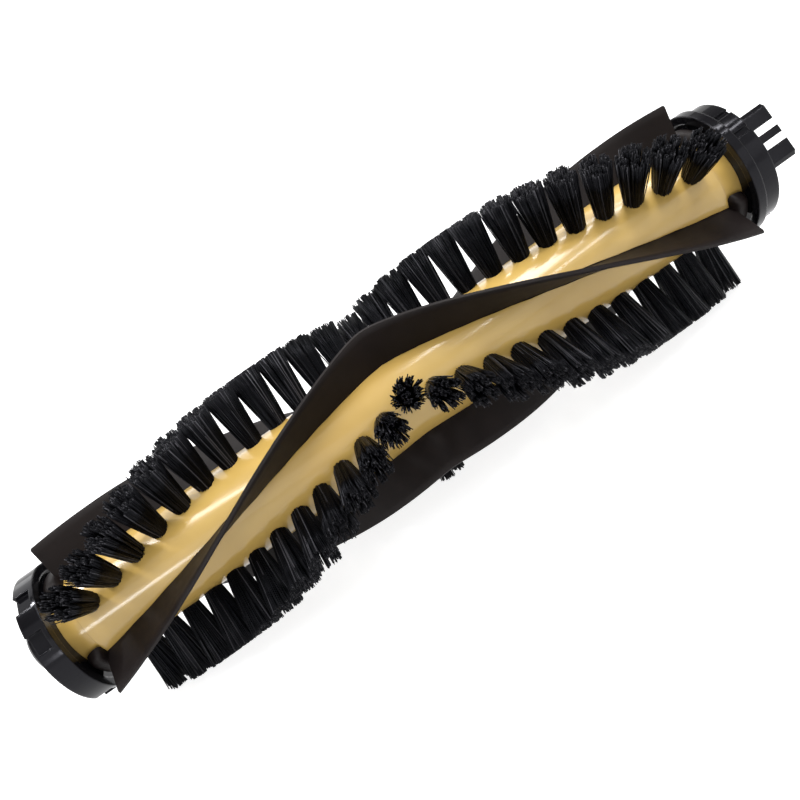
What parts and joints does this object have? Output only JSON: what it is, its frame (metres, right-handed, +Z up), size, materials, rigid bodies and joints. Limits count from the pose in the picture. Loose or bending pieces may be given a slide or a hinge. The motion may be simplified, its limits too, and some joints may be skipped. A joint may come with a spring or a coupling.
{
  "type": "robot vacuum roller brush",
  "caption": "Main roller brush of a robot vacuum: tan core with chevron rubber blades and black bristle rows, slotted square drive peg at one end and a free-turning bush at the other.",
  "frame": {"origin": "on the turning axis at the middle of the overall length", "axes": "+X along the turning axis towards the drive peg, +Z up with the roller lying on its bristles"},
  "size_m": [0.1724, 0.0434, 0.0434],
  "materials": {
    "tan_plastic": "smooth moulded",
    "black_rubber": "satin",
    "black_nylon": "fine filaments",
    "anchor_wire": "rolled wire",
    "black_plastic": "smooth moulded",
    "pin_steel": "turned",
    "bush_plastic": "smooth moulded"
  },
  "bodies": {
    "roller": {"roller_core": "tan_plastic", "rubber_blade_1": "black_rubber", "rubber_blade_2": "black_rubber", "rubber_blade_3": "black_rubber", "bristle_row_1": "black_nylon", "bristle_row_2": "black_nylon", "bristle_row_3": "black_nylon", "wire_anchors_1": "anchor_wire", "wire_anchors_2": "anchor_wire", "wire_anchors_3": "anchor_wire", "idle_end_cap": "black_plastic", "drive_end_cap": "black_plastic", "idle_axle_pin": "pin_steel"},
    "bush": {"idle_bush": "bush_plastic"}
  },
  "joints": [
    {"name": "bush_turn", "type": "hinge", "parent": "roller", "child": "bush", "pos_m": [-0.0837, 0, 0], "axis": [1, 0, 0], "continuous": true}
  ]
}
